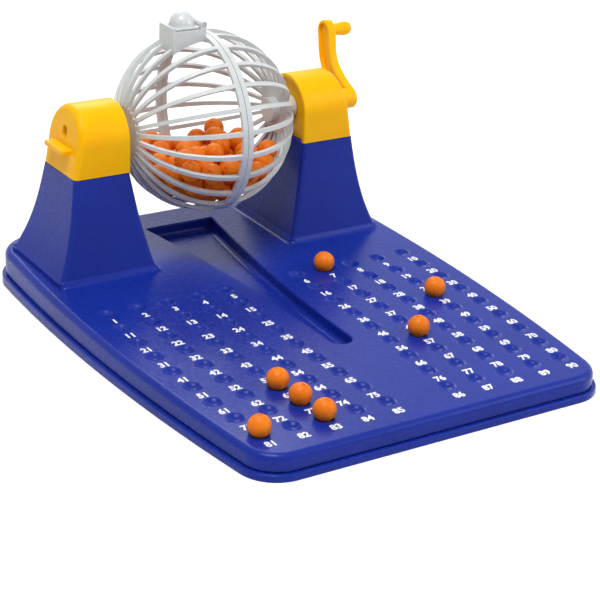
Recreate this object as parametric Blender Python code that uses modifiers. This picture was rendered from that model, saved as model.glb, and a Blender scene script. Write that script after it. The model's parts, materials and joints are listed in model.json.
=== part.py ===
"""Tabletop bingo cage: a number board with two towers, a ribbed cage turned by a crank, and loose balls.

Metres, +Z up. The cage axle runs along X, the player sits on the -Y side, and the origin is at the
centre of the footprint, on the table.
"""

import math

import bmesh
import bpy
import numpy as np
from mathutils import Matrix, Vector

MM = 0.001
GAP = 0.3 * MM  # between pieces that touch
RUNNING_GAP = 0.3 * MM  # between pieces that turn on each other
OVERLAP = 1.5 * MM  # how far joined shapes run into each other, and short cutters past a face
OVERSHOOT = 5 * MM  # how far long cutters run past what they cut

# Balls
BALL_RADIUS = 5.7 * MM
BOARD_BALL_NUMBERS = (7, 39, 57, 63, 73, 81, 83)
PILE_BALLS = 26
PILE_SPACING = 0.3 * MM
PILE_SEED = 7
PILE_FALL_STEPS = 900
PILE_SPREAD_STEPS = 400
PILE_FALL = 0.4 * MM  # the first step's drop
PILE_CLEARANCE = 1.2 * MM  # from the cage's inside

# Board
BOARD_DEPTH = 287 * MM
BOARD_HALF_WIDTH = 112 * MM
BOARD_FRONT_HEIGHT = 12.6 * MM
BOARD_SLOPE = math.radians(1.5)
BOARD_WALL = 2.4 * MM
DECK_THICKNESS = 3.2 * MM
SIDE_BOW = 0.424  # 1/m, how fast the sides curve in from the widest place
WIDEST_BEHIND_MIDDLE = 28 * MM
FRONT_CORNER_RADIUS = 20 * MM
BACK_CORNER_RADIUS = 26 * MM
LIP_HEIGHT_SHARE = 0.3
LIP_STEP = 1.6 * MM
LIP_EDGE = 0.5 * MM
WALL_SETBACK = 2 * MM  # from the lip's edge to the wall above it
TOP_ROUNDING = 3.6 * MM

# Numbered cups
CUP_ROWS = 9
CUP_COLUMNS = 5  # on each side of the chute
CUP_PITCH = 17.5 * MM
ROW_PITCH = 18.1 * MM
CUP_DEPTH = 1.9 * MM
CUP_FLOOR_RADIUS = 2.6 * MM
FRONT_CUP_SETBACK = 25.3 * MM  # from the front edge to the centres of the front row
MIDDLE_GAP = 46.8 * MM  # between the two blocks at their widest
COLUMN_BOW = 0.53  # 1/m
COLUMN_BOW_CENTRE = 130.5 * MM  # from the front edge

# Towers
AXLE_SETBACK = 50.7 * MM  # from the back edge
AXLE_HEIGHT = 89 * MM
TOWER_TOP_LENGTH = 32.7 * MM  # along the axle
TOWER_TOP_DEPTH = 38.6 * MM
TOWER_HEIGHT = 72.6 * MM
TOWER_FLARE_INNER = 11.8 * MM
TOWER_FLARE_OUTER = 14 * MM
TOWER_FLARE_FRONT = 9.6 * MM
TOWER_FLARE_BACK = 14.5 * MM
FLARE_STRAIGHT = 0.75  # the share of a flare that is straight, the rest curves out at the foot
FLARE_STRAIGHT_OUTER = 0.5
TOWER_FOOT_FILLET = 3 * MM
FOOT_STEP = 0.1 * MM  # the fillet's lowest edge stands this far above the deck
TOWER_CORNER = 2.4 * MM
TOWER_INNER_CORNER = 0.6 * MM  # smallest corner inside the hollow
TONGUE_HEIGHT = 4 * MM

# Chute
CHUTE_TIP_SETBACK = 86.5 * MM  # from the front edge
CHUTE_TIP_HALF_WIDTH = 6.1 * MM
CHUTE_FLARE = 0.495  # 1/m
CHUTE_BEHIND_AXLE = 24 * MM
CHUTE_DEPTH = 7 * MM
CHUTE_WALL = 2 * MM

# Cage
CAGE_RADIUS = 50 * MM
CAGE_WALL = 2.2 * MM
CAGE_RIBS = 24
RIB_WIDTH_POLE = 2.0 * MM
RIB_WIDTH_RING = 2.4 * MM
RING_WIDTH = 6.3 * MM  # both halves and the seam
HUB_RADIUS = 14 * MM
JOURNAL_RADIUS = 4 * MM
DRIVE_BOSS_RADIUS = 7 * MM
DRIVE_SQUARE = 5 * MM
SIDE_PLAY = 4.3 * MM  # from each pole of the cage to its cap

# Ball outlet on the left half
OUTLET_LENGTH = 20 * MM  # along the axle
OUTLET_BREADTH = 16 * MM
OUTLET_HOLE = 12.6 * MM
OUTLET_HOLE_SHIFT = 0.6 * MM  # from the block's middle, away from the ring
OUTLET_TOP = 53.4 * MM  # from the axle
OUTLET_TAB_HEIGHT = 2 * MM
OUTLET_TAB = 1.4 * MM
DOME_RADIUS = 7 * MM
DOME_RISE = 1.8 * MM  # from the lid's underside to the dome's centre
DOME_WALL = 1.1 * MM
LID_PLATE = 1.2 * MM
PIN_RADIUS = 0.8 * MM
LUG_RADIUS = 1.9 * MM
PIN_SETBACK = 1.3 * MM  # from the ring
EAR_THICKNESS = 1.8 * MM
LID_SIDE = 1 * MM  # the lid is this much narrower than the block on each side

# Caps on the towers
CAP_WALL = 2.2 * MM
CAP_EDGE = 1.2 * MM
CAP_RECESS = 3 * MM
CAP_LEAN = 6 * MM  # how far the outer face leans in at the top of the arch
CAP_BOSS_RADIUS = 6.6 * MM
CAP_BOSS_LENGTH = 3 * MM
SHELF_LENGTH = 22 * MM
SHELF_HEIGHT = 3 * MM
SHELF_REACH = 3.4 * MM
SHELF_BELOW_AXLE = 1.6 * MM
SLOT_WIDTH = 5 * MM
SLOT_HEIGHT = 6.6 * MM
SLOT_ABOVE_AXLE = 5 * MM

# Crank
CRANK_HUB_RADIUS = 6 * MM
CRANK_THICKNESS = 5.5 * MM
CRANK_WIDTH = 12.5 * MM
CRANK_RIM = 1.8 * MM  # on each side of the channel in the arm's back
CRANK_CHANNEL = 2 * MM
CRANK_THROW_BACK = 25.5 * MM
CRANK_THROW_UP = 33.5 * MM
KNOB_RADIUS = 4 * MM
KNOB_LENGTH = 13.2 * MM
SOCKET_DEPTH = 7 * MM
CRANK_STANDOFF = 6.2 * MM  # from the cap, so that the arm clears the tower's flare
CAP_COLLAR_GAP = 0.7 * MM  # from the cap to the crank's collar
ARM_STEP = 0.2 * MM  # the arm is this much thinner than its hub on each side
CRANK_PULL = (1.05, 0.36)  # the swan neck's control points, as shares of the throw
CRANK_OVER = (0.9, 0.62)
KNOB_PROFILE = ((-0.07, 0.84), (0.14, 0.84), (0.36, 0.92), (0.71, 1), (0.89, 0.84), (1, 0.45))

# Places worked out from the sizes above
FRONT_Y = -BOARD_DEPTH / 2
BACK_Y = BOARD_DEPTH / 2
AXLE_Y = BACK_Y - AXLE_SETBACK
AXLE = Vector((0, AXLE_Y, AXLE_HEIGHT))
CAP_INNER_X = CAGE_RADIUS + SIDE_PLAY
CAP_OUTER_X = CAP_INNER_X + TOWER_TOP_LENGTH
ARCH_RADIUS = TOWER_TOP_DEPTH / 2
CAP_BOTTOM_Z = TOWER_HEIGHT + GAP
CUP_RIM_RADIUS = math.sqrt((BALL_RADIUS + GAP) ** 2 - (BALL_RADIUS + GAP - CUP_DEPTH) ** 2)
HUB_X = math.sqrt(CAGE_RADIUS**2 - HUB_RADIUS**2)
OUTLET_START_X = -RING_WIDTH / 2
OUTLET_MIDDLE_X = OUTLET_START_X - OUTLET_LENGTH / 2 - OUTLET_HOLE_SHIFT
PIN_X = OUTLET_START_X - PIN_SETBACK
PIN_HEIGHT = OUTLET_TOP + LUG_RADIUS + GAP

BLUE = (0.012, 0.026, 0.30, 1)
YELLOW = (1.0, 0.46, 0.005, 1)
SILVER = (0.55, 0.56, 0.56, 1)
PALE_SILVER = (0.75, 0.76, 0.76, 1)
ORANGE = (0.75, 0.16, 0.01, 1)


def clear_scene():
    for obj in list(bpy.data.objects):
        bpy.data.objects.remove(obj, do_unlink=True)


def new_collection(name):
    collection = bpy.data.collections.new(name)
    bpy.context.scene.collection.children.link(collection)
    return collection


def make_material(name, colour, roughness, metallic=0.0):
    material = bpy.data.materials.new(name)
    material.use_nodes = True
    shader = material.node_tree.nodes["Principled BSDF"]
    shader.inputs["Base Color"].default_value = colour
    shader.inputs["Roughness"].default_value = roughness
    shader.inputs["Metallic"].default_value = metallic
    return material


def deck_height(y):
    return BOARD_FRONT_HEIGHT + (y - FRONT_Y) * math.tan(BOARD_SLOPE)


def object_from(bm, name, collection, material=None):
    bmesh.ops.recalc_face_normals(bm, faces=bm.faces)
    mesh = bpy.data.meshes.new(name)
    bm.to_mesh(mesh)
    bm.free()
    obj = bpy.data.objects.new(name, mesh)
    collection.objects.link(obj)
    if material:
        mesh.materials.append(material)
    return obj


def make_cutter(bm, name):
    obj = object_from(bm, name, cutters)
    obj.hide_render = True
    obj.display_type = "WIRE"
    return obj


def combine(target, other, operation):
    modifier = target.modifiers.new(f"{operation.lower()} {other.name}", "BOOLEAN")
    modifier.operation = operation
    modifier.solver = "EXACT"
    modifier.object = other


def cut(target, other):
    combine(target, other, "DIFFERENCE")


def join(target, other):
    combine(target, other, "UNION")


def loft(bm, rings):
    """A closed body through rings of as many points each."""
    loops = [[bm.verts.new(point) for point in ring] for ring in rings]
    for lower, upper in zip(loops, loops[1:]):
        for i in range(len(lower)):
            j = (i + 1) % len(lower)
            bm.faces.new((lower[i], lower[j], upper[j], upper[i]))
    bm.faces.new(reversed(loops[0]))
    bm.faces.new(loops[-1])


def add_box(bm, low, high):
    size = Vector(high) - Vector(low)
    centre = (Vector(high) + Vector(low)) / 2
    place = Matrix.Translation(centre) @ Matrix.Diagonal((*size, 1))
    bmesh.ops.create_cube(bm, size=1, matrix=place)


def add_rod(bm, start_x, end_x, radius, segments=16, axle=AXLE):
    """A round bar along X whose flats lie at the radius."""
    middle = Vector(((start_x + end_x) / 2, axle.y, axle.z))
    turn = Matrix.Rotation(math.pi / 2, 4, "Y") @ Matrix.Rotation(math.pi / segments, 4, "Z")
    bmesh.ops.create_cone(
        bm,
        cap_ends=True,
        segments=segments,
        radius1=radius / math.cos(math.pi / segments),
        radius2=radius / math.cos(math.pi / segments),
        depth=abs(end_x - start_x),
        matrix=Matrix.Translation(middle) @ turn,
    )


# The board


def half_width(y):
    return BOARD_HALF_WIDTH - SIDE_BOW * (y - WIDEST_BEHIND_MIDDLE) ** 2


def side_slope(y):
    return -2 * SIDE_BOW * (y - WIDEST_BEHIND_MIDDLE)


def board_outline(inset, side_steps=8, corner_steps=6):
    """The footprint moved in by inset, as (x, y) from the front left corner round to the left side."""
    lean_front = math.atan(side_slope(FRONT_Y + FRONT_CORNER_RADIUS))
    lean_back = math.atan(-side_slope(BACK_Y - BACK_CORNER_RADIUS))
    start_y = FRONT_Y + FRONT_CORNER_RADIUS * (1 - math.sin(lean_front))
    end_y = BACK_Y - BACK_CORNER_RADIUS * (1 - math.sin(lean_back))
    right = []
    radius = FRONT_CORNER_RADIUS - inset
    centre_x = half_width(start_y) - FRONT_CORNER_RADIUS * math.cos(lean_front)
    centre_y = FRONT_Y + FRONT_CORNER_RADIUS
    for i in range(corner_steps):
        angle = -math.pi / 2 + (math.pi / 2 - lean_front) * i / corner_steps
        right.append((centre_x + radius * math.cos(angle), centre_y + radius * math.sin(angle)))
    for i in range(side_steps + 1):
        y = start_y + (end_y - start_y) * i / side_steps
        right.append((half_width(y) - inset, y))
    radius = BACK_CORNER_RADIUS - inset
    centre_x = half_width(end_y) - BACK_CORNER_RADIUS * math.cos(lean_back)
    centre_y = BACK_Y - BACK_CORNER_RADIUS
    for i in range(1, corner_steps + 1):
        angle = lean_back + (math.pi / 2 - lean_back) * i / corner_steps
        right.append((centre_x + radius * math.cos(angle), centre_y + radius * math.sin(angle)))
    return right + [(-x, y) for x, y in reversed(right)]


def board_ring(inset, share=0.0, below_deck=0.0, lift=0.0):
    """A ring of the board's wall, at a share of the deck's height less below_deck."""
    ring = []
    for x, y in board_outline(inset):
        ring.append((x, y, share * deck_height(y) - below_deck + lift))
    return ring


def board_body():
    bm = bmesh.new()
    rounding = []
    for i in range(4):
        angle = math.pi / 2 * i / 3
        in_by = WALL_SETBACK + TOP_ROUNDING * (1 - math.cos(angle))
        rounding.append(board_ring(in_by, 1, TOP_ROUNDING * (1 - math.sin(angle))))
    rings = [
        board_ring(LIP_EDGE),
        board_ring(0, 0, 0, LIP_EDGE),
        board_ring(0, LIP_HEIGHT_SHARE, LIP_EDGE),
        board_ring(LIP_EDGE, LIP_HEIGHT_SHARE),
        board_ring(LIP_STEP, LIP_HEIGHT_SHARE),
    ]
    loft(bm, rings + rounding)
    return object_from(bm, "base_board", parts, blue)


def tower_section(side, back_off, drop, heights):
    """One rounded section of a tower, at this share of its height from the top.

    back_off moves the walls out, but not the outer one, which already runs into the board's edge.
    """
    low_x = CAP_INNER_X - TOWER_FLARE_INNER * flare_at(drop, FLARE_STRAIGHT) - back_off
    high_x = CAP_OUTER_X + TOWER_FLARE_OUTER * flare_at(drop, FLARE_STRAIGHT_OUTER) + min(back_off, 0)
    spread = flare_at(drop, FLARE_STRAIGHT)
    front_y = -(TOWER_TOP_DEPTH / 2 + TOWER_FLARE_FRONT * spread + back_off)
    back_y = TOWER_TOP_DEPTH / 2 + TOWER_FLARE_BACK * spread + back_off
    corner = max(TOWER_CORNER + back_off, TOWER_INNER_CORNER)
    ring = []
    corners = ((high_x, back_y, 0), (low_x, back_y, 90), (low_x, front_y, 180), (high_x, front_y, 270))
    for x, y, start in corners:
        centre_x = x - corner if x == high_x else x + corner
        centre_y = y - corner if y > 0 else y + corner
        for i in range(3):
            angle = math.radians(start + 45 * i)
            point_x = centre_x + corner * math.cos(angle)
            point_y = centre_y + corner * math.sin(angle) + AXLE_Y
            ring.append((side * point_x, point_y, heights(point_y)))
    return ring if side > 0 else ring[::-1]


def flare_at(drop, straight):
    """How far a wall has spread after this share of the tower's height, counted from the top."""
    return straight * drop + (1 - straight) * drop**3


def add_tower(bm, side, back_off, top, sink):
    """A tower from below the deck up to top. back_off is negative for the hollow inside it."""
    foot = TOWER_FOOT_FILLET if back_off == 0 else back_off
    rings = [tower_section(side, foot, 1, lambda y: deck_height(y) - sink)]
    if back_off == 0:
        for i in range(3):
            angle = math.pi / 2 * i / 3
            out = TOWER_FOOT_FILLET * (1 - math.sin(angle))
            up = TOWER_FOOT_FILLET * (1 - math.cos(angle)) + FOOT_STEP
            rings.append(tower_section(side, out, 1, lambda y, up=up: deck_height(y) + up))
    for drop in (0.9, 0.7, 0.45, 0.2, 0.0):
        heights = lambda y, drop=drop: top + (deck_height(y) - top) * drop
        rings.append(tower_section(side, back_off, drop, heights))
    loft(bm, rings)


def add_tongue(bm, side):
    """The step on top of a tower that its cap slips over."""
    clear = CAP_WALL + GAP
    low_x = CAP_INNER_X + CAP_RECESS + CAP_WALL + GAP
    high_x = cap_outer_x(TOWER_HEIGHT + TONGUE_HEIGHT) - clear
    xs = sorted((side * low_x, side * high_x))
    half_y = TOWER_TOP_DEPTH / 2 - clear
    low = (xs[0], AXLE_Y - half_y, TOWER_HEIGHT - OVERLAP)
    high = (xs[1], AXLE_Y + half_y, TOWER_HEIGHT + TONGUE_HEIGHT)
    add_box(bm, low, high)


def chute_half_width(y):
    tip_y = FRONT_Y + CHUTE_TIP_SETBACK
    return CHUTE_TIP_HALF_WIDTH + CHUTE_FLARE * (y - tip_y) ** 2


def chute_outline(grow):
    """The chute's plan, from its round tip back under the cage."""
    tip_y = FRONT_Y + CHUTE_TIP_SETBACK
    start_y = tip_y + CHUTE_TIP_HALF_WIDTH
    end_y = AXLE_Y + CHUTE_BEHIND_AXLE
    right = []
    for i in range(5):
        angle = -math.pi / 2 + math.pi / 2 * i / 5
        radius = CHUTE_TIP_HALF_WIDTH + grow
        right.append((radius * math.cos(angle), start_y + radius * math.sin(angle)))
    for i in range(7):
        y = start_y + (end_y - start_y) * i / 6
        right.append((chute_half_width(y) + grow, y))
    last_x = right[-1][0]
    right.append((last_x, end_y + grow + OVERLAP))
    return right + [(-x, y) for x, y in reversed(right) if x > 1e-9]


def add_chute(bm, grow, floor_drop, top_rise):
    bottom = [(x, y, deck_height(y) - floor_drop) for x, y in chute_outline(grow)]
    top = [(x, y, deck_height(y) + top_rise) for x, y in chute_outline(grow)]
    loft(bm, [bottom, top])


def cup_place(number):
    """The centre of a number's cup, on the deck."""
    row = (number - 1) // (2 * CUP_COLUMNS)
    column = (number - 1) % (2 * CUP_COLUMNS)
    y = FRONT_Y + FRONT_CUP_SETBACK + (CUP_ROWS - 1 - row) * ROW_PITCH
    bow = COLUMN_BOW * (y - FRONT_Y - COLUMN_BOW_CENTRE) ** 2
    inner = MIDDLE_GAP / 2 - bow
    if column < CUP_COLUMNS:
        x = -(inner + (CUP_COLUMNS - 1 - column) * CUP_PITCH)
    else:
        x = inner + (column - CUP_COLUMNS) * CUP_PITCH
    return Vector((x, y, deck_height(y)))


def add_cup(bm, centre):
    """A shallow cup with slanted walls, cut a little above the deck so that its rim is clean."""
    slant = (CUP_RIM_RADIUS - CUP_FLOOR_RADIUS) / CUP_DEPTH
    lean = Matrix.Rotation(BOARD_SLOPE, 4, "X")
    middle = centre + Vector((0, 0, (OVERLAP - CUP_DEPTH) / 2))
    bmesh.ops.create_cone(
        bm,
        cap_ends=True,
        segments=10,
        radius1=CUP_FLOOR_RADIUS,
        radius2=CUP_RIM_RADIUS + slant * OVERLAP,
        depth=CUP_DEPTH + OVERLAP,
        matrix=Matrix.Translation(middle) @ lean,
    )


def make_base():
    base = board_body()
    bm = bmesh.new()
    add_tower(bm, 1, 0, TOWER_HEIGHT, OVERLAP)
    join(base, make_cutter(bm, "right tower"))
    bm = bmesh.new()
    add_tower(bm, -1, 0, TOWER_HEIGHT, OVERLAP)
    join(base, make_cutter(bm, "left tower"))
    bm = bmesh.new()
    inside = WALL_SETBACK + BOARD_WALL
    loft(bm, [board_ring(inside, 0, OVERSHOOT), board_ring(inside, 1, DECK_THICKNESS)])
    cut(base, make_cutter(bm, "board hollow"))
    for side in (1, -1):
        bm = bmesh.new()
        add_tower(bm, side, -BOARD_WALL, TOWER_HEIGHT - BOARD_WALL, DECK_THICKNESS + OVERLAP)
        cut(base, make_cutter(bm, f"tower hollow {side}"))
        bm = bmesh.new()
        add_tongue(bm, side)
        join(base, make_cutter(bm, f"tongue {side}"))
    bm = bmesh.new()
    add_chute(bm, CHUTE_WALL, CHUTE_DEPTH + CHUTE_WALL, -OVERLAP)
    join(base, make_cutter(bm, "chute trough"))
    bm = bmesh.new()
    add_chute(bm, 0, CHUTE_DEPTH, OVERSHOOT)
    cut(base, make_cutter(bm, "chute"))
    bm = bmesh.new()
    for number in range(1, 2 * CUP_ROWS * CUP_COLUMNS + 1):
        add_cup(bm, cup_place(number))
    cut(base, make_cutter(bm, "cups"))


# The caps


def cap_outer_x(z):
    """Where a cap's outer face stands at this height."""
    return CAP_OUTER_X - CAP_LEAN * (z - CAP_BOTTOM_Z) / (AXLE_HEIGHT + ARCH_RADIUS - CAP_BOTTOM_Z)


def add_arch(bm, side, inner_x, outer_at, inset, bottom):
    """A prism along X with upright sides and a round top. outer_at gives its outer end at each height."""
    radius = ARCH_RADIUS - inset
    profile = [(AXLE_Y + radius, bottom)]
    for i in range(13):
        angle = math.pi * i / 12
        profile.append((AXLE_Y + radius * math.cos(angle), AXLE_HEIGHT + radius * math.sin(angle)))
    profile.append((AXLE_Y - radius, bottom))
    inner = [(side * inner_x, y, z) for y, z in profile]
    outer = [(side * outer_at(z), y, z) for y, z in profile]
    loft(bm, [inner, outer])


def make_cap(name, side):
    bm = bmesh.new()
    add_arch(bm, side, CAP_INNER_X, cap_outer_x, 0, CAP_BOTTOM_Z)
    cap = object_from(bm, name, parts, yellow)
    modifier = cap.modifiers.new("edges", "BEVEL")
    modifier.width = CAP_EDGE
    modifier.segments = 1
    modifier.angle_limit = math.radians(60)
    web_x = CAP_INNER_X + CAP_RECESS
    below = CAP_BOTTOM_Z - OVERLAP
    bm = bmesh.new()
    add_arch(bm, side, web_x + CAP_WALL, lambda z: cap_outer_x(z) - CAP_WALL, CAP_WALL, below)
    cut(cap, make_cutter(bm, f"{name} hollow"))
    bm = bmesh.new()
    add_arch(bm, side, CAP_INNER_X - OVERLAP, lambda z: web_x, CAP_WALL, below)
    cut(cap, make_cutter(bm, f"{name} recess"))
    bm = bmesh.new()
    boss_end = web_x + CAP_WALL + CAP_BOSS_LENGTH
    add_rod(bm, side * (web_x + CAP_WALL / 2), side * boss_end, CAP_BOSS_RADIUS)
    join(cap, make_cutter(bm, f"{name} boss"))
    bm = bmesh.new()
    bore_end = CAP_OUTER_X + OVERSHOOT if side > 0 else boss_end + OVERLAP
    add_rod(bm, side * (web_x - OVERLAP), side * bore_end, JOURNAL_RADIUS + RUNNING_GAP)
    cut(cap, make_cutter(bm, f"{name} bore"))
    return cap


def make_caps():
    make_cap("cap_right", 1)
    cap = make_cap("cap_left", -1)
    bm = bmesh.new()
    top = AXLE_HEIGHT - SHELF_BELOW_AXLE
    low = (-CAP_OUTER_X - SHELF_REACH, AXLE_Y - SHELF_LENGTH / 2, top - SHELF_HEIGHT)
    high = (OVERLAP - cap_outer_x(top), AXLE_Y + SHELF_LENGTH / 2, top)
    add_box(bm, low, high)
    join(cap, make_cutter(bm, "shelf"))
    bm = bmesh.new()
    middle = AXLE_HEIGHT + SLOT_ABOVE_AXLE
    low = (-CAP_OUTER_X - OVERLAP, AXLE_Y - SLOT_WIDTH / 2, middle - SLOT_HEIGHT / 2)
    high_z = middle + SLOT_HEIGHT / 2
    high = (CAP_WALL + OVERLAP - cap_outer_x(high_z), AXLE_Y + SLOT_WIDTH / 2, high_z)
    add_box(bm, low, high)
    cut(cap, make_cutter(bm, "slot"))


# The cage


def cage_point(side, x, radius, angle):
    return Vector((side * x, radius * math.sin(angle), radius * math.cos(angle))) + AXLE


def lattice(side):
    """The middle surface of one half: a hub disc, ribs and half of the ring, ready to be thickened."""
    middle = CAGE_RADIUS - CAGE_WALL / 2
    ring_x = RING_WIDTH / 2
    polar = []
    pole_angle = math.asin(HUB_RADIUS / middle)
    ring_angle = math.acos(ring_x / middle)
    rows = 6
    for i in range(rows + 1):
        polar.append(pole_angle + (ring_angle - pole_angle) * i / rows)
    bm = bmesh.new()
    columns = []
    for rib in range(CAGE_RIBS):
        centre = 2 * math.pi * (rib + 0.5) / CAGE_RIBS
        for edge in (-1, 1):
            column = []
            for i, angle in enumerate(polar):
                radius = middle * math.sin(angle)
                width = RIB_WIDTH_POLE + (RIB_WIDTH_RING - RIB_WIDTH_POLE) * i / rows
                turn = centre + edge * width / 2 / radius
                x = middle * math.cos(angle)
                column.append(bm.verts.new(cage_point(side, x, radius, turn)))
            turn = centre + edge * RIB_WIDTH_RING / 2 / middle
            column.append(bm.verts.new(cage_point(side, GAP / 2, middle, turn)))
            columns.append(column)
    for i, column in enumerate(columns):
        following = columns[(i + 1) % len(columns)]
        if i % 2 == 0:
            for j in range(rows):
                bm.faces.new((column[j], following[j], following[j + 1], column[j + 1]))
        bm.faces.new((column[-2], following[-2], following[-1], column[-1]))
    bm.faces.new([column[0] for column in columns])
    return bm


def make_cage_half(name, side):
    half = object_from(lattice(side), name, parts, silver)
    modifier = half.modifiers.new("wall", "SOLIDIFY")
    modifier.thickness = CAGE_WALL
    modifier.offset = 0
    return half


def add_frustum(bm, size_low, size_high, low, high, centre_x):
    """A block with a square or oblong section that may narrow upwards."""
    rings = []
    for size, z in ((size_low, low), (size_high, high)):
        ring = []
        for sx, sy in ((-1, -1), (1, -1), (1, 1), (-1, 1)):
            ring.append((centre_x + sx * size[0] / 2, AXLE_Y + sy * size[1] / 2, AXLE_HEIGHT + z))
        rings.append(ring)
    loft(bm, rings)


def make_cage():
    left = make_cage_half("cage_half_left", -1)
    bm = bmesh.new()
    size = (OUTLET_LENGTH, OUTLET_BREADTH)
    block_x = OUTLET_START_X - OUTLET_LENGTH / 2
    shell_drop = math.sqrt((CAGE_RADIUS - CAGE_WALL) ** 2 - (RING_WIDTH / 2 + OUTLET_LENGTH) ** 2)
    lowest = math.sqrt(shell_drop**2 - (OUTLET_BREADTH / 2) ** 2)
    add_frustum(bm, size, size, lowest, OUTLET_TOP, block_x)
    tab_x = OUTLET_START_X - OUTLET_LENGTH + OUTLET_TAB / 2
    tab = (OUTLET_TAB, OUTLET_BREADTH)
    outlet = make_cutter(bm, "outlet block")
    bm = bmesh.new()
    bmesh.ops.create_uvsphere(
        bm,
        u_segments=48,
        v_segments=32,
        radius=CAGE_RADIUS - CAGE_WALL,
        matrix=Matrix.Translation(AXLE) @ Matrix.Rotation(math.pi / 2, 4, "Y"),
    )
    cut(outlet, make_cutter(bm, "cage inside"))
    bm = bmesh.new()
    add_frustum(bm, tab, tab, OUTLET_TOP - OVERLAP, OUTLET_TOP + OUTLET_TAB_HEIGHT, tab_x)
    join(outlet, make_cutter(bm, "outlet tab"))
    for end in (-1, 1):
        bm = bmesh.new()
        ear_y = end * (OUTLET_BREADTH - EAR_THICKNESS) / 2
        pin = Vector((PIN_X, AXLE_Y + ear_y, AXLE_HEIGHT + PIN_HEIGHT))
        add_pin(bm, pin, LUG_RADIUS, EAR_THICKNESS, 12)
        join(outlet, make_cutter(bm, f"ear eye {end}"))
        bm = bmesh.new()
        low = (PIN_X - LUG_RADIUS, pin.y - EAR_THICKNESS / 2, AXLE_HEIGHT + OUTLET_TOP - OVERLAP)
        add_box(bm, low, (PIN_X + PIN_SETBACK, pin.y + EAR_THICKNESS / 2, pin.z))
        join(outlet, make_cutter(bm, f"ear {end}"))
    bm = bmesh.new()
    add_pin(bm, Vector((PIN_X, AXLE_Y, AXLE_HEIGHT + PIN_HEIGHT)), PIN_RADIUS + GAP, 2 * OUTLET_BREADTH, 12)
    cut(outlet, make_cutter(bm, "ear holes"))
    join(left, outlet)
    bm = bmesh.new()
    hole = (OUTLET_HOLE, OUTLET_HOLE)
    add_frustum(bm, hole, hole, lowest - OVERSHOOT, OUTLET_TOP + OVERSHOOT, OUTLET_MIDDLE_X)
    cut(left, make_cutter(bm, "outlet hole"))
    bm = bmesh.new()
    journal_end = CAP_INNER_X + CAP_RECESS + CAP_WALL + CAP_BOSS_LENGTH
    add_rod(bm, -HUB_X + CAGE_WALL / 2, -journal_end, JOURNAL_RADIUS)
    join(left, make_cutter(bm, "left journal"))

    right = make_cage_half("cage_half_right", 1)
    bm = bmesh.new()
    boss_end = CAP_INNER_X + CAP_RECESS - GAP
    add_rod(bm, HUB_X - SOCKET_DEPTH, boss_end, DRIVE_BOSS_RADIUS)
    join(right, make_cutter(bm, "drive boss"))
    bm = bmesh.new()
    half = DRIVE_SQUARE / 2 + GAP
    floor_x = boss_end - SOCKET_DEPTH
    low = (floor_x, AXLE_Y - half, AXLE_HEIGHT - half)
    add_box(bm, low, (boss_end + OVERSHOOT, AXLE_Y + half, AXLE_HEIGHT + half))
    cut(right, make_cutter(bm, "drive socket"))


# The outlet's lid and its pin


def make_lid():
    plate_z = OUTLET_TOP + GAP
    plate_end = OUTLET_START_X - OUTLET_LENGTH + OUTLET_TAB + GAP
    plate_start = PIN_X - LUG_RADIUS - GAP
    knuckle = OUTLET_BREADTH - 2 * (EAR_THICKNESS + RUNNING_GAP)
    size = (plate_start - plate_end, OUTLET_BREADTH - 2 * LID_SIDE)
    bm = bmesh.new()
    middle_x = (plate_start + plate_end) / 2
    add_frustum(bm, size, size, plate_z, plate_z + LID_PLATE, middle_x)
    lid = object_from(bm, "outlet_lid", parts, pale_silver)
    dome_centre = Vector((OUTLET_MIDDLE_X, AXLE_Y, AXLE_HEIGHT + plate_z + DOME_RISE))
    for name, radius, action in (("dome", DOME_RADIUS, join), ("dome inside", DOME_RADIUS - DOME_WALL, cut)):
        bm = bmesh.new()
        bmesh.ops.create_uvsphere(
            bm, u_segments=16, v_segments=10, radius=radius, matrix=Matrix.Translation(dome_centre)
        )
        if action is join:
            whole = bm.verts[:] + bm.edges[:] + bm.faces[:]
            base = dome_centre + Vector((0, 0, LID_PLATE / 2 - DOME_RISE))
            result = bmesh.ops.bisect_plane(bm, geom=whole, plane_co=base, plane_no=(0, 0, 1), clear_inner=True)
            rim = [item for item in result["geom_cut"] if isinstance(item, bmesh.types.BMEdge)]
            bmesh.ops.edgeloop_fill(bm, edges=rim)
        action(lid, make_cutter(bm, name))
    bm = bmesh.new()
    size = (PIN_X - plate_start + OVERLAP, knuckle)
    add_frustum(bm, size, size, plate_z, plate_z + LID_PLATE, (PIN_X + plate_start - OVERLAP) / 2)
    join(lid, make_cutter(bm, "lid neck"))
    bm = bmesh.new()
    pin = Vector((PIN_X, AXLE_Y, AXLE_HEIGHT + PIN_HEIGHT))
    add_pin(bm, pin, LUG_RADIUS, knuckle, 12)
    join(lid, make_cutter(bm, "lid knuckle"))
    bm = bmesh.new()
    add_pin(bm, pin, PIN_RADIUS + RUNNING_GAP, 2 * OUTLET_BREADTH, 12)
    cut(lid, make_cutter(bm, "lid pin hole"))
    bm = bmesh.new()
    add_pin(bm, pin, PIN_RADIUS, OUTLET_BREADTH, 12)
    object_from(bm, "lid_pin", parts, silver)


def add_pin(bm, centre, radius, length, segments):
    """A round bar along Y."""
    turn = Matrix.Rotation(math.pi / 2, 4, "X") @ Matrix.Rotation(math.pi / segments, 4, "Z")
    bmesh.ops.create_cone(
        bm,
        cap_ends=True,
        segments=segments,
        radius1=radius / math.cos(math.pi / segments),
        radius2=radius / math.cos(math.pi / segments),
        depth=length,
        matrix=Matrix.Translation(centre) @ turn,
    )


# The crank


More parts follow.
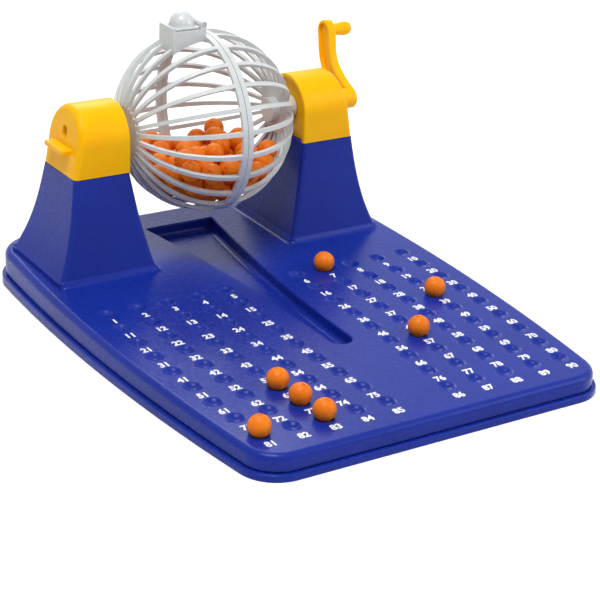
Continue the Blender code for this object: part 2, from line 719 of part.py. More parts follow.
def crank_path():
    """The swan-neck centre line of the arm, as (back, up) from the axle."""
    start = Vector((0.0, 0.0))
    end = Vector((CRANK_THROW_BACK, CRANK_THROW_UP))
    pull = Vector((end.x * CRANK_PULL[0], end.y * CRANK_PULL[1]))
    over = Vector((end.x * CRANK_OVER[0], end.y * CRANK_OVER[1]))
    points = []
    for i in range(9):
        t = i / 8
        a = start * (1 - t) ** 3
        b = pull * (3 * t * (1 - t) ** 2)
        c = over * (3 * t**2 * (1 - t))
        points.append(a + b + c + end * t**3)
    return points


def add_arm(bm, inner_x, outer_x, half_width):
    """The arm's outline between two planes, with a round tip."""
    path = crank_path()
    left = []
    right = []
    for i, point in enumerate(path):
        ahead = path[min(i + 1, len(path) - 1)] - path[max(i - 1, 0)]
        across = Vector((-ahead.y, ahead.x)).normalized() * half_width
        left.append(point + across)
        right.append(point - across)
    tip = path[-1]
    heading = (path[-1] - path[-2]).normalized()
    across = Vector((-heading.y, heading.x))
    for i in range(1, 6):
        angle = math.pi * i / 6
        left.append(tip + (across * math.cos(angle) + heading * math.sin(angle)) * half_width)
    outline = left + right[::-1]
    rings = []
    for x in (inner_x, outer_x):
        rings.append([(x, AXLE_Y + p.x, AXLE_HEIGHT + p.y) for p in outline])
    loft(bm, rings)


def make_crank():
    inner_x = CAP_OUTER_X + CRANK_STANDOFF
    outer_x = inner_x + CRANK_THICKNESS
    bm = bmesh.new()
    add_rod(bm, inner_x, outer_x, CRANK_HUB_RADIUS, 20)
    crank = object_from(bm, "crank", parts, yellow)
    bm = bmesh.new()
    add_arm(bm, inner_x + ARM_STEP, outer_x - ARM_STEP, CRANK_WIDTH / 2)
    join(crank, make_cutter(bm, "crank arm"))
    bm = bmesh.new()
    add_arm(bm, inner_x - OVERLAP, inner_x + CRANK_CHANNEL, CRANK_WIDTH / 2 - CRANK_RIM)
    cut(crank, make_cutter(bm, "crank channel"))
    bm = bmesh.new()
    collar_x = cap_outer_x(AXLE_HEIGHT - CRANK_HUB_RADIUS) + CAP_COLLAR_GAP
    add_rod(bm, collar_x, inner_x + CRANK_CHANNEL + OVERLAP, CRANK_HUB_RADIUS)
    join(crank, make_cutter(bm, "crank collar"))
    bm = bmesh.new()
    grip = AXLE + Vector((0, CRANK_THROW_BACK, CRANK_THROW_UP))
    rings = []
    for along, share in KNOB_PROFILE:
        place_x = outer_x + along * KNOB_LENGTH
        ring = []
        for i in range(12):
            angle = 2 * math.pi * (i + 0.5) / 12
            reach = KNOB_RADIUS * share
            ring.append((place_x, grip.y + reach * math.cos(angle), grip.z + reach * math.sin(angle)))
        rings.append(ring)
    loft(bm, rings)
    join(crank, make_cutter(bm, "crank knob"))
    boss_end = CAP_INNER_X + CAP_RECESS - GAP
    bm = bmesh.new()
    add_rod(bm, boss_end + 2 * GAP, inner_x + OVERLAP, JOURNAL_RADIUS)
    join(crank, make_cutter(bm, "crank shaft"))
    bm = bmesh.new()
    half = DRIVE_SQUARE / 2
    low = (boss_end - SOCKET_DEPTH + GAP, AXLE_Y - half, AXLE_HEIGHT - half)
    add_box(bm, low, (boss_end + 2 * GAP + OVERLAP, AXLE_Y + half, AXLE_HEIGHT + half))
    join(crank, make_cutter(bm, "crank square"))


# The balls


def make_ball(name, centre):
    bm = bmesh.new()
    bmesh.ops.create_icosphere(bm, subdivisions=2, radius=BALL_RADIUS)
    ball = object_from(bm, name, parts, orange)
    ball.location = centre
    ball.data.shade_smooth()


def pile_centres():
    """Balls dropped into the cage and pushed apart until none touch, as offsets from the axle."""
    random = np.random.default_rng(PILE_SEED)
    spacing = 2 * BALL_RADIUS + PILE_SPACING
    reach = CAGE_RADIUS - CAGE_WALL - BALL_RADIUS - PILE_CLEARANCE
    spread = random.uniform(-0.5, 0.5, (PILE_BALLS, 3)) * reach
    for step in range(PILE_FALL_STEPS + PILE_SPREAD_STEPS):
        if step < PILE_FALL_STEPS:
            spread[:, 2] -= PILE_FALL * (1 - step / PILE_FALL_STEPS)
        for _ in range(4):
            apart = spread[:, None, :] - spread[None, :, :]
            distance = np.linalg.norm(apart, axis=2)
            np.fill_diagonal(distance, 1.0)
            push = np.clip(spacing - distance, 0, None)[:, :, None] * apart / distance[:, :, None]
            spread += 0.5 * push.sum(axis=1)
            length = np.linalg.norm(spread, axis=1, keepdims=True)
            spread *= np.minimum(1, reach / np.maximum(length, 1e-6))
    return spread


def make_balls():
    rise = BALL_RADIUS + GAP - CUP_DEPTH
    for number in BOARD_BALL_NUMBERS:
        make_ball(f"ball_{number:02d}", cup_place(number) + Vector((0, 0, rise)))
    for i, offset in enumerate(pile_centres()):
        make_ball(f"cage_ball_{i + 1:02d}", AXLE + Vector(offset))


clear_scene()
parts = new_collection("bingo cage")
cutters = new_collection("cutters")
blue = make_material("blue moulded plastic", BLUE, 0.25)
yellow = make_material("yellow moulded plastic", YELLOW, 0.3)
silver = make_material("silver plastic", SILVER, 0.35)
pale_silver = make_material("pale silver plastic", PALE_SILVER, 0.25)
orange = make_material("orange ball plastic", ORANGE, 0.4)
make_base()
make_caps()
make_cage()
make_lid()
make_crank()
make_balls()
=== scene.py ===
import json
import math

import bmesh
import bpy
import numpy as np
from mathutils import Matrix, Vector
from mathutils.kdtree import KDTree


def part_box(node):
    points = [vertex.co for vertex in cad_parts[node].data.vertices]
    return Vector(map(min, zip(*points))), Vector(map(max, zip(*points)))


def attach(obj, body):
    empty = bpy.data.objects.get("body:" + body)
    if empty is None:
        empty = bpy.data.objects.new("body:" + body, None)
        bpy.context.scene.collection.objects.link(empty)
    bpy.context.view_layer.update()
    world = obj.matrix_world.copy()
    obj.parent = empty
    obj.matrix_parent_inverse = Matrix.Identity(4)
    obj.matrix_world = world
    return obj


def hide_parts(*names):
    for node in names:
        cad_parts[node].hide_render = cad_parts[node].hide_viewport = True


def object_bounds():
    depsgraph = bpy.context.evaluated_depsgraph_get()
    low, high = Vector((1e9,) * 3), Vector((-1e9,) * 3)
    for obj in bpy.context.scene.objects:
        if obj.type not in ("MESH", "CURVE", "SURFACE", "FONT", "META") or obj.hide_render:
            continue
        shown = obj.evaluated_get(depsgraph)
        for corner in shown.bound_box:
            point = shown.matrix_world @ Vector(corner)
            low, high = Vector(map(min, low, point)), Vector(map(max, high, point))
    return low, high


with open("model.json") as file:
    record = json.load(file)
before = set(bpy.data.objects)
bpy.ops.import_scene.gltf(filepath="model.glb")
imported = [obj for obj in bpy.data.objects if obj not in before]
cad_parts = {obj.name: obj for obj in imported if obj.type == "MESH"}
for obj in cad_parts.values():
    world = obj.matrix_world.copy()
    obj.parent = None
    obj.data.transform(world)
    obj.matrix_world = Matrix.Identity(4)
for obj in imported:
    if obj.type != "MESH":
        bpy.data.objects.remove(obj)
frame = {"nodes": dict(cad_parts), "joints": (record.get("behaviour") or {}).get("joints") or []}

# Everything is in metres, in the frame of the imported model. A length written as n * mm is in millimetres.
mm = 0.001
overlap = 1.5 * mm  # how far a piece runs into the one it is joined to or cut from
overshoot = 5 * mm  # how far a cutter runs out past an open end
gap = 0.3 * mm  # left between pieces that fit together
cadLow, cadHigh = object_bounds()
joints = {joint["name"]: joint for joint in frame["joints"]}
axle = Vector(joints["cage_spin"]["pos_m"])
lidPin = Vector(joints["lid_hinge"]["pos_m"])
random = np.random.default_rng(12)


# Making and finishing a piece


def pickOnly(piece):
    bpy.ops.object.select_all(action="DESELECT")
    piece.select_set(True)
    bpy.context.view_layer.objects.active = piece


def startFlat(name, ring):
    # a filled circle whose points are moved onto the first ring
    bpy.ops.object.select_all(action="DESELECT")
    bpy.ops.mesh.primitive_circle_add(vertices=len(ring), radius=0.05, fill_type="NGON")
    piece = bpy.context.active_object
    piece.name = name
    for vert, point in zip(piece.data.vertices, ring):
        vert.co = point
    return piece


def drawUp(name, rings, openTop=False):
    # the flat start is extruded once for each further ring, and its points are set on that ring
    piece = startFlat(name, rings[0])
    bpy.ops.object.mode_set(mode="EDIT")
    bpy.ops.mesh.select_all(action="SELECT")
    for lower, upper in zip(rings, rings[1:]):
        tree = KDTree(len(lower))
        for i, point in enumerate(lower):
            tree.insert(point, i)
        tree.balance()
        bpy.ops.mesh.extrude_region_move()
        mesh = bmesh.from_edit_mesh(piece.data)
        for vert in mesh.verts:
            if vert.select:
                vert.co = upper[tree.find(vert.co)[1]]
        bmesh.update_edit_mesh(piece.data)
    if openTop:
        bpy.ops.mesh.delete(type="ONLY_FACE")
    bpy.ops.mesh.select_all(action="SELECT")
    bpy.ops.mesh.normals_make_consistent(inside=False)
    bpy.ops.object.mode_set(mode="OBJECT")
    return piece


def turnUp(name, profile, centre, along, segments=32):
    # rings round a straight line, from (distance along it, radius) pairs
    along = Vector(along).normalized()
    side = along.orthogonal().normalized()
    across = along.cross(side)
    rings = []
    for distance, radius in profile:
        ring = []
        for i in range(segments):
            angle = 2 * math.pi * (i + 0.5) / segments
            reach = side * math.cos(angle) + across * math.sin(angle)
            ring.append(Vector(centre) + along * distance + reach * radius)
        rings.append(ring)
    return drawUp(name, rings)


def block(name, low, high):
    bpy.ops.object.select_all(action="DESELECT")
    middle = (Vector(low) + Vector(high)) / 2
    bpy.ops.mesh.primitive_cube_add(size=1, location=middle, scale=Vector(high) - Vector(low))
    piece = bpy.context.active_object
    piece.name = name
    settle(piece)
    return piece


def settle(piece):
    pickOnly(piece)
    bpy.ops.object.transform_apply(location=True, rotation=True, scale=True)


def modify(piece, kind, **settings):
    pickOnly(piece)
    modifier = piece.modifiers.new(kind.lower(), kind)
    for key, value in settings.items():
        setattr(modifier, key, value)
    bpy.ops.object.modifier_apply(modifier=modifier.name)


def combine(piece, other, operation):
    modify(piece, "BOOLEAN", operation=operation, solver="EXACT", object=other)
    bpy.data.objects.remove(other)


def gather(name, pieces):
    bpy.ops.object.select_all(action="DESELECT")
    for piece in pieces:
        piece.select_set(True)
    bpy.context.view_layer.objects.active = pieces[0]
    bpy.ops.object.join()
    pieces[0].name = name
    return pieces[0]


def clean(piece, angle=32):
    pickOnly(piece)
    bpy.ops.object.mode_set(mode="EDIT")
    bpy.ops.mesh.select_all(action="SELECT")
    bpy.ops.mesh.remove_doubles(threshold=1e-6)
    bpy.ops.mesh.normals_make_consistent(inside=False)
    bpy.ops.object.mode_set(mode="OBJECT")
    bpy.ops.object.shade_smooth_by_angle(angle=math.radians(angle))


def roundEdges(piece, width, segments=3, angle=40):
    modify(
        piece,
        "BEVEL",
        width=width,
        segments=segments,
        limit_method="ANGLE",
        angle_limit=math.radians(angle),
        harden_normals=False,
        use_clamp_overlap=True,
    )


def evenNormals(piece):
    # large flats keep their own direction right up to a rounded edge
    modify(piece, "WEIGHTED_NORMAL", mode="FACE_AREA", weight=60, keep_sharp=True)


def openEdges(piece):
    mesh = bmesh.new()
    mesh.from_mesh(piece.data)
    count = sum(1 for edge in mesh.edges if len(edge.link_faces) != 2)
    mesh.free()
    return count


def place(piece, body, slot, *nodes):
    if not piece.name.startswith(("drawn", "heap")):
        print(piece.name, len(piece.data.polygons), "faces,", openEdges(piece), "open edges")
    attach(piece, body)
    if nodes:
        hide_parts(*nodes)


# Materials


def linear(hexColour):
    parts = [int(hexColour[i : i + 2], 16) / 255 for i in (1, 3, 5)]
    return tuple(c / 12.92 if c <= 0.04045 else ((c + 0.055) / 1.055) ** 2.4 for c in parts) + (1,)


def addNode(tree, kind, settings=(), links=()):
    node = tree.nodes.new(kind)
    for key, value in dict(settings).items():
        if isinstance(key, int) or key in node.inputs:
            node.inputs[key].default_value = value
        else:
            setattr(node, key, value)
    for key, source in dict(links).items():
        tree.links.new(source, node.inputs[key])
    return node


def mouldedPlastic(name, look):
    # injection moulded: an even colour with faint flow clouds, a fine grain from the mould,
    # and light rub marks
    material = bpy.data.materials.new(name)
    material.use_nodes = True
    tree = material.node_tree
    shader = tree.nodes["Principled BSDF"]
    shader.inputs["IOR"].default_value = 1.53
    shader.inputs["Specular IOR Level"].default_value = look.get("specular", 0.5)
    if look.get("glow"):
        shader.inputs["Subsurface Weight"].default_value = look["glow"]
        shader.inputs["Subsurface Radius"].default_value = look["glowDepth"]
        shader.inputs["Subsurface Scale"].default_value = mm
    if look.get("clear"):
        shader.inputs["Transmission Weight"].default_value = look["clear"]
    spot = addNode(tree, "ShaderNodeTexCoord")
    clouds = addNode(
        tree,
        "ShaderNodeTexNoise",
        {"Scale": 1 / (look["cloudSize"] * mm), "Detail": 3.0, "Roughness": 0.6},
        {"Vector": spot.outputs["Object"]},
    )
    ramp = addNode(tree, "ShaderNodeValToRGB", {}, {"Fac": clouds.outputs["Fac"]})
    ramp.color_ramp.elements[0].position = 0.3
    ramp.color_ramp.elements[0].color = linear(look["deep"])
    ramp.color_ramp.elements[1].position = 0.7
    ramp.color_ramp.elements[1].color = linear(look["colour"])
    tree.links.new(ramp.outputs["Color"], shader.inputs["Base Color"])
    rubs = addNode(
        tree,
        "ShaderNodeTexNoise",
        {"Scale": 1 / (3.5 * mm), "Detail": 5.0, "Roughness": 0.7, "Distortion": 0.6},
        {"Vector": spot.outputs["Object"]},
    )
    rough = addNode(
        tree,
        "ShaderNodeMapRange",
        {"From Min": 0.3, "From Max": 0.75, "To Min": look["rough"] - 0.04, "To Max": look["rough"] + 0.07},
        {"Value": rubs.outputs["Fac"]},
    )
    tree.links.new(rough.outputs["Result"], shader.inputs["Roughness"])
    # a real mould grain is about 0.1 mm; it is drawn several times coarser so that it shows at all
    grain = addNode(
        tree,
        "ShaderNodeTexNoise",
        {"Scale": 1 / (look["grainSize"] * mm), "Detail": 2.0},
        {"Vector": spot.outputs["Object"]},
    )
    sink = addNode(
        tree,
        "ShaderNodeTexNoise",
        {"Scale": 1 / (14 * mm), "Detail": 1.0},
        {"Vector": spot.outputs["Object"]},
    )
    both = addNode(
        tree,
        "ShaderNodeMath",
        {"operation": "MULTIPLY_ADD", 1: 3.0},
        {0: sink.outputs["Fac"], 2: grain.outputs["Fac"]},
    )
    bump = addNode(
        tree,
        "ShaderNodeBump",
        {"Strength": look["grain"], "Distance": 0.02 * mm},
        {"Height": both.outputs["Value"]},
    )
    tree.links.new(bump.outputs["Normal"], shader.inputs["Normal"])
    return material


plastics = {
    # polystyrene, glossy from a polished mould: sharp pale reflections over a deep blue
    "blue polystyrene": {
        "colour": "#162f98",
        "deep": "#132a8c",
        "specular": 0.14,
        "rough": 0.26,
        "cloudSize": 45,
        "grainSize": 0.7,
        "grain": 0.25,
        "glow": 0.06,
        "glowDepth": (0.3, 0.4, 1.2),
    },
    # ABS caps and crank: warm yellow that glows orange where walls face each other
    "yellow ABS": {
        "colour": "#ffc000",
        "deep": "#ffb600",
        "specular": 0.12,
        "rough": 0.34,
        "cloudSize": 20,
        "grainSize": 0.6,
        "grain": 0.2,
        "glow": 0.12,
        "glowDepth": (2.2, 1.0, 0.15),
    },
    # the cage: grey polypropylene with a silvery pigment, satin
    "silver grey polypropylene": {
        "colour": "#d3d7d6",
        "deep": "#cacfcf",
        "specular": 0.35,
        "rough": 0.33,
        "cloudSize": 12,
        "grainSize": 0.5,
        "grain": 0.2,
        "glow": 0.1,
        "glowDepth": (0.8, 0.8, 0.8),
    },
    # the outlet lid: milky, half see-through
    "milky polypropylene": {
        "colour": "#e9ecee",
        "deep": "#dfe3e6",
        "rough": 0.24,
        "cloudSize": 12,
        "grainSize": 0.5,
        "grain": 0.1,
        "glow": 0.3,
        "glowDepth": (1.5, 1.5, 1.6),
        "clear": 0.25,
    },
    # tumbled balls: slightly waxy orange with small scuffs
    "orange ball plastic": {
        "colour": "#f58410",
        "deep": "#ea7408",
        "specular": 0.2,
        "rough": 0.4,
        "cloudSize": 6,
        "grainSize": 0.45,
        "grain": 0.5,
        "glow": 0.15,
        "glowDepth": (1.2, 0.5, 0.1),
    },
    # pad printing ink: flat white, a little uneven
    "white printing ink": {
        "colour": "#f4f5f7",
        "deep": "#e6e9f2",
        "rough": 0.55,
        "cloudSize": 1.5,
        "grainSize": 0.3,
        "grain": 0.2,
    },
}
paints = {name: mouldedPlastic(name, look) for name, look in plastics.items()}


def paint(piece, name):
    piece.data.materials.clear()
    piece.data.materials.append(paints[name])


# The board: a bowed deck on a stepped wall, two towers, the chute and the cups

board = {
    "halfWidth": cadHigh.x,
    "frontHeight": 12.6 * mm,
    "slope": math.radians(1.5),
    "sideBow": 0.424,
    "widestBehindMiddle": 28 * mm,
    "frontCorner": 20 * mm,
    "backCorner": 26 * mm,
    "lipShare": 0.3,
    "lipStep": 1.6 * mm,
    "wallSetback": 2 * mm,
    "groove": 0.7 * mm,
    "topRounding": 3.6 * mm,
    "wall": 2.4 * mm,
    "deck": 3.2 * mm,
}
towers = {
    "innerX": 54.3 * mm,
    "outerX": 87 * mm,
    "capWall": 2.2 * mm,
    "depth": 38.6 * mm,
    "height": 72.6 * mm,
    "flareInner": 11.8 * mm,
    "flareOuter": 14 * mm,
    "flareFront": 9.6 * mm,
    "flareBack": 14.5 * mm,
    "straight": 0.75,  # the rest of a flare curves out at the foot
    "straightOuter": 0.5,
    "foot": 3 * mm,
    "corner": 2.4 * mm,
    "tongue": 4 * mm,
    "capLean": 6 * mm,  # how far a cap's outer face leans in at the top of its arch
}
chute = {
    "tipSetback": 86.5 * mm,
    "tipHalfWidth": 6.1 * mm,
    "flare": 0.495,
    "behindAxle": 24 * mm,
    "depth": 7 * mm,
    "floorRounding": 3 * mm,
    "rim": 1 * mm,
    "wall": 2 * mm,
}
cups = {
    "rows": 9,
    "columns": 5,
    "pitch": 17.5 * mm,
    "rowPitch": 18.1 * mm,
    "depth": 1.9 * mm,
    "ball": 6 * mm,
    "rim": 0.7 * mm,
    "frontSetback": 25.3 * mm,
    "middleGap": 46.8 * mm,
    "bow": 0.53,
    "bowCentre": 130.5 * mm,
}
frontY = cadLow.y
backY = cadHigh.y


def deckHeight(y):
    return board["frontHeight"] + (y - frontY) * math.tan(board["slope"])


def halfWidth(y):
    return board["halfWidth"] - board["sideBow"] * (y - board["widestBehindMiddle"]) ** 2


def sideLean(y):
    return -2 * board["sideBow"] * (y - board["widestBehindMiddle"])


def boardOutline(inset, sideSteps=36, cornerSteps=14):
    front, back = board["frontCorner"], board["backCorner"]
    leanFront = math.atan(sideLean(frontY + front))
    leanBack = math.atan(-sideLean(backY - back))
    startY = frontY + front * (1 - math.sin(leanFront))
    endY = backY - back * (1 - math.sin(leanBack))
    right = []
    middle = (halfWidth(startY) - front * math.cos(leanFront), frontY + front)
    for i in range(cornerSteps):
        angle = -math.pi / 2 + (math.pi / 2 - leanFront) * i / cornerSteps
        right.append(
            (middle[0] + (front - inset) * math.cos(angle), middle[1] + (front - inset) * math.sin(angle))
        )
    for i in range(sideSteps + 1):
        y = startY + (endY - startY) * i / sideSteps
        right.append((halfWidth(y) - inset, y))
    middle = (halfWidth(endY) - back * math.cos(leanBack), backY - back)
    for i in range(1, cornerSteps + 1):
        angle = leanBack + (math.pi / 2 - leanBack) * i / cornerSteps
        right.append(
            (middle[0] + (back - inset) * math.cos(angle), middle[1] + (back - inset) * math.sin(angle))
        )
    return right + [(-x, y) for x, y in reversed(right)]


def boardRing(inset, share=0.0, lift=0.0):
    return [Vector((x, y, share * deckHeight(y) + lift)) for x, y in boardOutline(inset)]


def boardBody():
    lip, step, setback, groove = board["lipShare"], board["lipStep"], board["wallSetback"], board["groove"]
    rings = [
        boardRing(0.5 * mm),
        boardRing(0.15 * mm, 0, 0.15 * mm),
        boardRing(0, 0, 0.5 * mm),
        boardRing(0, lip, -0.9 * mm),
    ]
    for i in range(1, 4):
        angle = math.pi / 6 * i
        rings.append(boardRing(0.9 * mm * (1 - math.cos(angle)), lip, -0.9 * mm * (1 - math.sin(angle))))
    # a narrow groove runs round between the lip and the wall
    rings.append(boardRing(setback + groove, lip, -0.1 * mm))
    rings.append(boardRing(setback + groove, lip, groove))
    rings.append(boardRing(setback + 0.25 * mm, lip, groove))
    rings.append(boardRing(setback, lip, groove + 0.25 * mm))
    for i in range(9):
        angle = math.pi / 2 * i / 8
        rings.append(
            boardRing(
                setback + board["topRounding"] * (1 - math.cos(angle)),
                1,
                -board["topRounding"] * (1 - math.sin(angle)),
            )
        )
    return drawUp("board", rings)


def flared(drop, straight):
    return straight * drop + (1 - straight) * drop**3


def leanIn(z):
    bottom = towers["height"] + gap
    return towers["capLean"] * (z - bottom) / (axle.z + towers["depth"] / 2 - bottom)


def towerRing(side, backOff, drop, heights, steps=6):
    lowX = towers["innerX"] - towers["flareInner"] * flared(drop, towers["straight"]) - backOff
    highX = towers["outerX"] + towers["flareOuter"] * flared(
        drop, towers["straightOuter"]
    ) + min(backOff, 0)
    spread = flared(drop, towers["straight"])
    frontEdge = -(towers["depth"] / 2 + towers["flareFront"] * spread + backOff)
    backEdge = towers["depth"] / 2 + towers["flareBack"] * spread + backOff
    corner = max(towers["corner"] + backOff, 0.6 * mm)
    ring = []
    low, high = frontEdge + corner, backEdge - corner
    for x, y, start in (
        (highX - corner, high, 0),
        (lowX + corner, high, 90),
        (lowX + corner, low, 180),
        (highX - corner, low, 270),
    ):
        for i in range(steps + 1):
            angle = math.radians(start + 90 * i / steps)
            pointY = axle.y + y + corner * math.sin(angle)
            ring.append(Vector((side * (x + corner * math.cos(angle)), pointY, heights(pointY))))
    return ring


def tower(name, side, backOff, top, sink):
    foot = towers["foot"] if backOff == 0 else backOff
    rings = [towerRing(side, foot, 1, lambda y: deckHeight(y) - sink)]
    if backOff == 0:
        for i in range(7):
            angle = math.pi / 2 * i / 7
            out = foot * (1 - math.sin(angle))
            up = foot * (1 - math.cos(angle)) + 0.05 * mm
            rings.append(towerRing(side, out, 1, lambda y, up=up: deckHeight(y) + up))
    for i in range(13):
        drop = 0.94 * (1 - i / 12)
        rings.append(
            towerRing(side, backOff, drop, lambda y, drop=drop: top + (deckHeight(y) - top) * drop)
        )
    return drawUp(name, rings)


def chuteRing(grow, drop):
    tipY = frontY + chute["tipSetback"]
    startY = tipY + chute["tipHalfWidth"]
    endY = axle.y + chute["behindAxle"]
    right = []
    radius = chute["tipHalfWidth"] + grow
    for i in range(1, 12):
        angle = -math.pi / 2 + math.pi / 2 * i / 12
        right.append((radius * math.cos(angle), startY + radius * math.sin(angle)))
    for i in range(25):
        y = startY + (endY - startY) * i / 24
        right.append((chute["tipHalfWidth"] + chute["flare"] * (y - tipY) ** 2 + grow, y))
    right.append((right[-1][0], endY + grow + overlap))
    outline = [(0, startY - radius)] + right + [(-x, y) for x, y in reversed(right)]
    return [Vector((x, y, deckHeight(y) - drop)) for x, y in outline]


def chuteCut():
    depth, floor, rim = chute["depth"], chute["floorRounding"], chute["rim"]
    rings = []
    for i in range(6):
        angle = math.pi / 2 * i / 5
        rings.append(chuteRing(-floor * (1 - math.sin(angle)), depth - floor * (1 - math.cos(angle))))
    for i in range(5):
        angle = math.radians(75) * i / 4
        rings.append(chuteRing(rim * (1 - math.cos(angle)), rim * (1 - math.sin(angle))))
    rings.append(chuteRing(rim * 1.2, -0.6 * mm))
    return drawUp("chute cut", rings)


def cupPlace(number):
    row, column = divmod(number - 1, 2 * cups["columns"])
    y = frontY + cups["frontSetback"] + (cups["rows"] - 1 - row) * cups["rowPitch"]
    inner = cups["middleGap"] / 2 - cups["bow"] * (y - frontY - cups["bowCentre"]) ** 2
    if column < cups["columns"]:
        x = -(inner + (cups["columns"] - 1 - column) * cups["pitch"])
    else:
        x = inner + (column - cups["columns"]) * cups["pitch"]
    return Vector((x, y, deckHeight(y)))


def cupCutter():
    # the hollow of a ball, with a rounded rim that runs out just above the deck
    sphere, depth, rim = cups["ball"], cups["depth"], cups["rim"]
    profile = []
    edge = math.acos((sphere - depth) / sphere) * 0.86
    for i in range(7):
        angle = edge * (i + 0.5) / 6.5
        profile.append((sphere - depth - sphere * math.cos(angle), sphere * math.sin(angle)))
    lastAlong, lastRadius = profile[-1]
    for share, out in ((0.45, 0.55), (0.75, 1.15), (0.97, 1.9)):
        profile.append((lastAlong * (1 - share), lastRadius + rim * out * 0.9))
    profile.append((0.35 * mm, profile[-1][1] + 0.8 * mm))
    up = Vector((0, -math.sin(board["slope"]), math.cos(board["slope"])))
    return turnUp("cup cut", profile, (0, 0, 0), up, 22)


def copiesOf(piece, name, spots):
    made = []
    for spot in spots:
        copy = piece.copy()
        copy.data = piece.data.copy()
        copy.name = name
        copy.data.transform(Matrix.Translation(spot))
        bpy.context.scene.collection.objects.link(copy)
        made.append(copy)
    bpy.data.objects.remove(piece)
    return made


def makeBoard():
    body = boardBody()
    for side in (1, -1):
        combine(body, tower("tower", side, 0, towers["height"], overlap), "UNION")
    inside = board["wallSetback"] + board["wall"]
    hollow = drawUp("hollow", [boardRing(inside, 0, -overshoot), boardRing(inside, 1, -board["deck"])])
    combine(body, hollow, "DIFFERENCE")
    clearance = towers["capWall"] + gap
    for side in (1, -1):
        combine(
            body,
            tower(
                "tower hollow",
                side,
                -board["wall"],
                towers["height"] - board["wall"],
                board["deck"] + overlap,
            ),
            "DIFFERENCE",
        )
        outer = towers["outerX"] - leanIn(towers["height"] + towers["tongue"]) - clearance
        ends = sorted((side * (towers["innerX"] + 3 * mm + clearance), side * outer))
        halfY = towers["depth"] / 2 - clearance
        low = (ends[0], axle.y - halfY, towers["height"] - overlap)
        tongue = block("tongue", low, (ends[1], axle.y + halfY, towers["height"] + towers["tongue"]))
        roundEdges(tongue, 0.5 * mm, 2)
        combine(body, tongue, "UNION")
    wall = chute["wall"]
    combine(
        body, drawUp("trough", [chuteRing(wall, chute["depth"] + wall), chuteRing(wall, overlap)]), "UNION"
    )
    combine(body, chuteCut(), "DIFFERENCE")
    numbers = range(1, 2 * cups["rows"] * cups["columns"] + 1)
    cutters = copiesOf(cupCutter(), "cup cut", [cupPlace(number) for number in numbers])
    combine(body, gather("cup cuts", cutters), "DIFFERENCE")
    clean(body, 30)
    evenNormals(body)
    body.name = "board_shell"
    paint(body, "blue polystyrene")
    place(body, "base", "blue_plastic", "base_board")


makeBoard()
print("board made")


# Printed numbers, one in front of each cup

printing = {"size": 6.2 * mm, "bold": 0.26 * mm, "inFront": 0.57, "thick": 0.025 * mm, "squeeze": 0.95}


def makeNumbers():
    labels = []
    for number in range(1, 2 * cups["rows"] * cups["columns"] + 1):
        bpy.ops.object.select_all(action="DESELECT")
        bpy.ops.object.text_add()
        label = bpy.context.active_object
        label.data.body = str(number)
        label.data.align_x = "CENTER"
        label.data.align_y = "CENTER"
        label.data.size = printing["size"]
        label.data.offset = printing["bold"]
        label.data.extrude = printing["thick"]
        label.data.resolution_u = 3
        bpy.ops.object.convert(target="MESH")
        spot = cupPlace(number)
        spot.y -= cups["rowPitch"] * printing["inFront"]
        spot.z = deckHeight(spot.y) + printing["thick"] * 0.6
        label.scale.x = printing["squeeze"]
        label.rotation_euler.x = board["slope"]
        label.location = spot
        settle(label)
        labels.append(label)
    ink = gather("printed_numbers", labels)
    clean(ink, 20)
    paint(ink, "white printing ink")
    place(ink, "base", "blue_plastic")


makeNumbers()
print("numbers printed")


# The caps: arched shells that clip over the tower tops and carry the axle

caps = {
    "wall": towers["capWall"],
    "recess": 3 * mm,
    "bossRadius": 6.6 * mm,
    "bossLength": 3 * mm,
    "bore": 4.3 * mm,
    "round": 0.7 * mm,
    "outerRound": 3 * mm,
    "gap": 0.3 * mm,
}
shelf = {"length": 22 * mm, "height": 3 * mm, "reach": 3.4 * mm, "belowAxle": 1.6 * mm}
slotHole = {"width": 5 * mm, "height": 6.6 * mm, "aboveAxle": 5 * mm}


def archRing(side, x, inset, bottom, leans=False, steps=28):
    radius = towers["depth"] / 2 - inset
    profile = [(radius, bottom)]
    for i in range(steps + 1):
        angle = math.pi * i / steps
        profile.append((radius * math.cos(angle), axle.z + radius * math.sin(angle)))
    profile.append((-radius, bottom))
    return [Vector((side * (x - leans * leanIn(z)), axle.y + y, z)) for y, z in profile]


